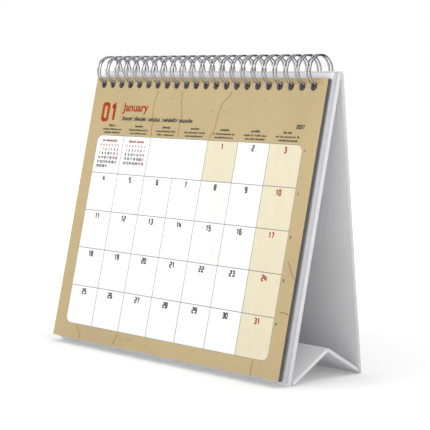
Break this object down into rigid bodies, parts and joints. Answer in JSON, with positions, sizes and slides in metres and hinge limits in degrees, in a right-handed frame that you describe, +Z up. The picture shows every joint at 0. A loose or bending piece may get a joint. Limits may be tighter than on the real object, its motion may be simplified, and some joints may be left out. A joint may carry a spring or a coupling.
{
  "type": "flip desk calendar",
  "caption": "Free-standing flip desk calendar: landscape month sheets bound by a twin-loop wire along the ridge of a folding easel stand with a creased base.",
  "frame": {"origin": "centre of the bounding box's bottom face, on the surface that the stand rests on", "axes": "+X along the ridge, to the right seen from the front; +Y to the rear; +Z up"},
  "size_m": [0.196, 0.0622, 0.1711],
  "materials": {
    "sheet_print": "matte sand-coloured printed paper",
    "card_grey": "matte grey card",
    "wire": "bright drawn wire",
    "board_white": "matte white covering paper over board"
  },
  "bodies": {
    "stand_front": {"inner_board": "board_white", "front_board": "board_white", "ridge_strip": "board_white", "wire_o_binding": "wire"},
    "stand_back": {"back_board": "board_white"},
    "base_rear": {"base_rear_flap": "board_white"},
    "base_front": {"base_front_flap": "board_white"},
    "leaf_january": {"sheet_january": "sheet_print"},
    "leaf_february": {"sheet_february": "sheet_print"},
    "leaf_march": {"sheet_march": "sheet_print"},
    "leaf_april": {"sheet_april": "sheet_print"},
    "leaf_may": {"sheet_may": "sheet_print"},
    "leaf_june": {"sheet_june": "sheet_print"},
    "leaf_july": {"sheet_july": "sheet_print"},
    "leaf_august": {"sheet_august": "sheet_print"},
    "leaf_september": {"sheet_september": "sheet_print"},
    "leaf_october": {"sheet_october": "sheet_print"},
    "leaf_november": {"sheet_november": "sheet_print"},
    "leaf_december": {"sheet_december": "sheet_print"},
    "leaf_backing_card": {"backing_card": "card_grey"}
  },
  "joints": [
    {"name": "stand_fold", "type": "hinge", "parent": "stand_front", "child": "stand_back", "pos_m": [0, 0.01445, 0.16052], "axis": [-1, 0, 0], "range_deg": [0, 12]},
    {"name": "heel_crease_fold", "type": "hinge", "parent": "stand_back", "child": "base_rear", "pos_m": [0, 0.02891, 0.0032], "axis": [-1, 0, 0], "range_deg": [0, 36]},
    {"name": "peak_crease_fold", "type": "hinge", "parent": "base_rear", "child": "base_front", "pos_m": [0, 0.00509, 0.01484], "axis": [1, 0, 0], "range_deg": [0, 108]},
    {"name": "january_turn", "type": "hinge", "parent": "stand_front", "child": "leaf_january", "pos_m": [0, 0.00793, 0.1625], "axis": [-1, 0, 0], "range_deg": [0, 228], "deforming": ["sheet_january"]},
    {"name": "february_turn", "type": "hinge", "parent": "stand_front", "child": "leaf_february", "pos_m": [0, 0.00793, 0.1625], "axis": [-1, 0, 0], "range_deg": [0, 228], "deforming": ["sheet_february"]},
    {"name": "march_turn", "type": "hinge", "parent": "stand_front", "child": "leaf_march", "pos_m": [0, 0.00793, 0.1625], "axis": [-1, 0, 0], "range_deg": [0, 228], "deforming": ["sheet_march"]},
    {"name": "april_turn", "type": "hinge", "parent": "stand_front", "child": "leaf_april", "pos_m": [0, 0.00793, 0.1625], "axis": [-1, 0, 0], "range_deg": [0, 228], "deforming": ["sheet_april"]},
    {"name": "may_turn", "type": "hinge", "parent": "stand_front", "child": "leaf_may", "pos_m": [0, 0.00793, 0.1625], "axis": [-1, 0, 0], "range_deg": [0, 228], "deforming": ["sheet_may"]},
    {"name": "june_turn", "type": "hinge", "parent": "stand_front", "child": "leaf_june", "pos_m": [0, 0.00793, 0.1625], "axis": [-1, 0, 0], "range_deg": [0, 228], "deforming": ["sheet_june"]},
    {"name": "july_turn", "type": "hinge", "parent": "stand_front", "child": "leaf_july", "pos_m": [0, 0.00793, 0.1625], "axis": [-1, 0, 0], "range_deg": [0, 228], "deforming": ["sheet_july"]},
    {"name": "august_turn", "type": "hinge", "parent": "stand_front", "child": "leaf_august", "pos_m": [0, 0.00793, 0.1625], "axis": [-1, 0, 0], "range_deg": [0, 228], "deforming": ["sheet_august"]},
    {"name": "september_turn", "type": "hinge", "parent": "stand_front", "child": "leaf_september", "pos_m": [0, 0.00793, 0.1625], "axis": [-1, 0, 0], "range_deg": [0, 228], "deforming": ["sheet_september"]},
    {"name": "october_turn", "type": "hinge", "parent": "stand_front", "child": "leaf_october", "pos_m": [0, 0.00793, 0.1625], "axis": [-1, 0, 0], "range_deg": [0, 228], "deforming": ["sheet_october"]},
    {"name": "november_turn", "type": "hinge", "parent": "stand_front", "child": "leaf_november", "pos_m": [0, 0.00793, 0.1625], "axis": [-1, 0, 0], "range_deg": [0, 228], "deforming": ["sheet_november"]},
    {"name": "december_turn", "type": "hinge", "parent": "stand_front", "child": "leaf_december", "pos_m": [0, 0.00793, 0.1625], "axis": [-1, 0, 0], "range_deg": [0, 228], "deforming": ["sheet_december"]},
    {"name": "backing_card_turn", "type": "hinge", "parent": "stand_front", "child": "leaf_backing_card", "pos_m": [0, 0.00793, 0.1625], "axis": [-1, 0, 0], "range_deg": [0, 228]}
  ],
  "couplings": [
    {"joint": "heel_crease_fold", "follows": "stand_fold", "ratio": 3},
    {"joint": "peak_crease_fold", "follows": "stand_fold", "ratio": 9}
  ]
}
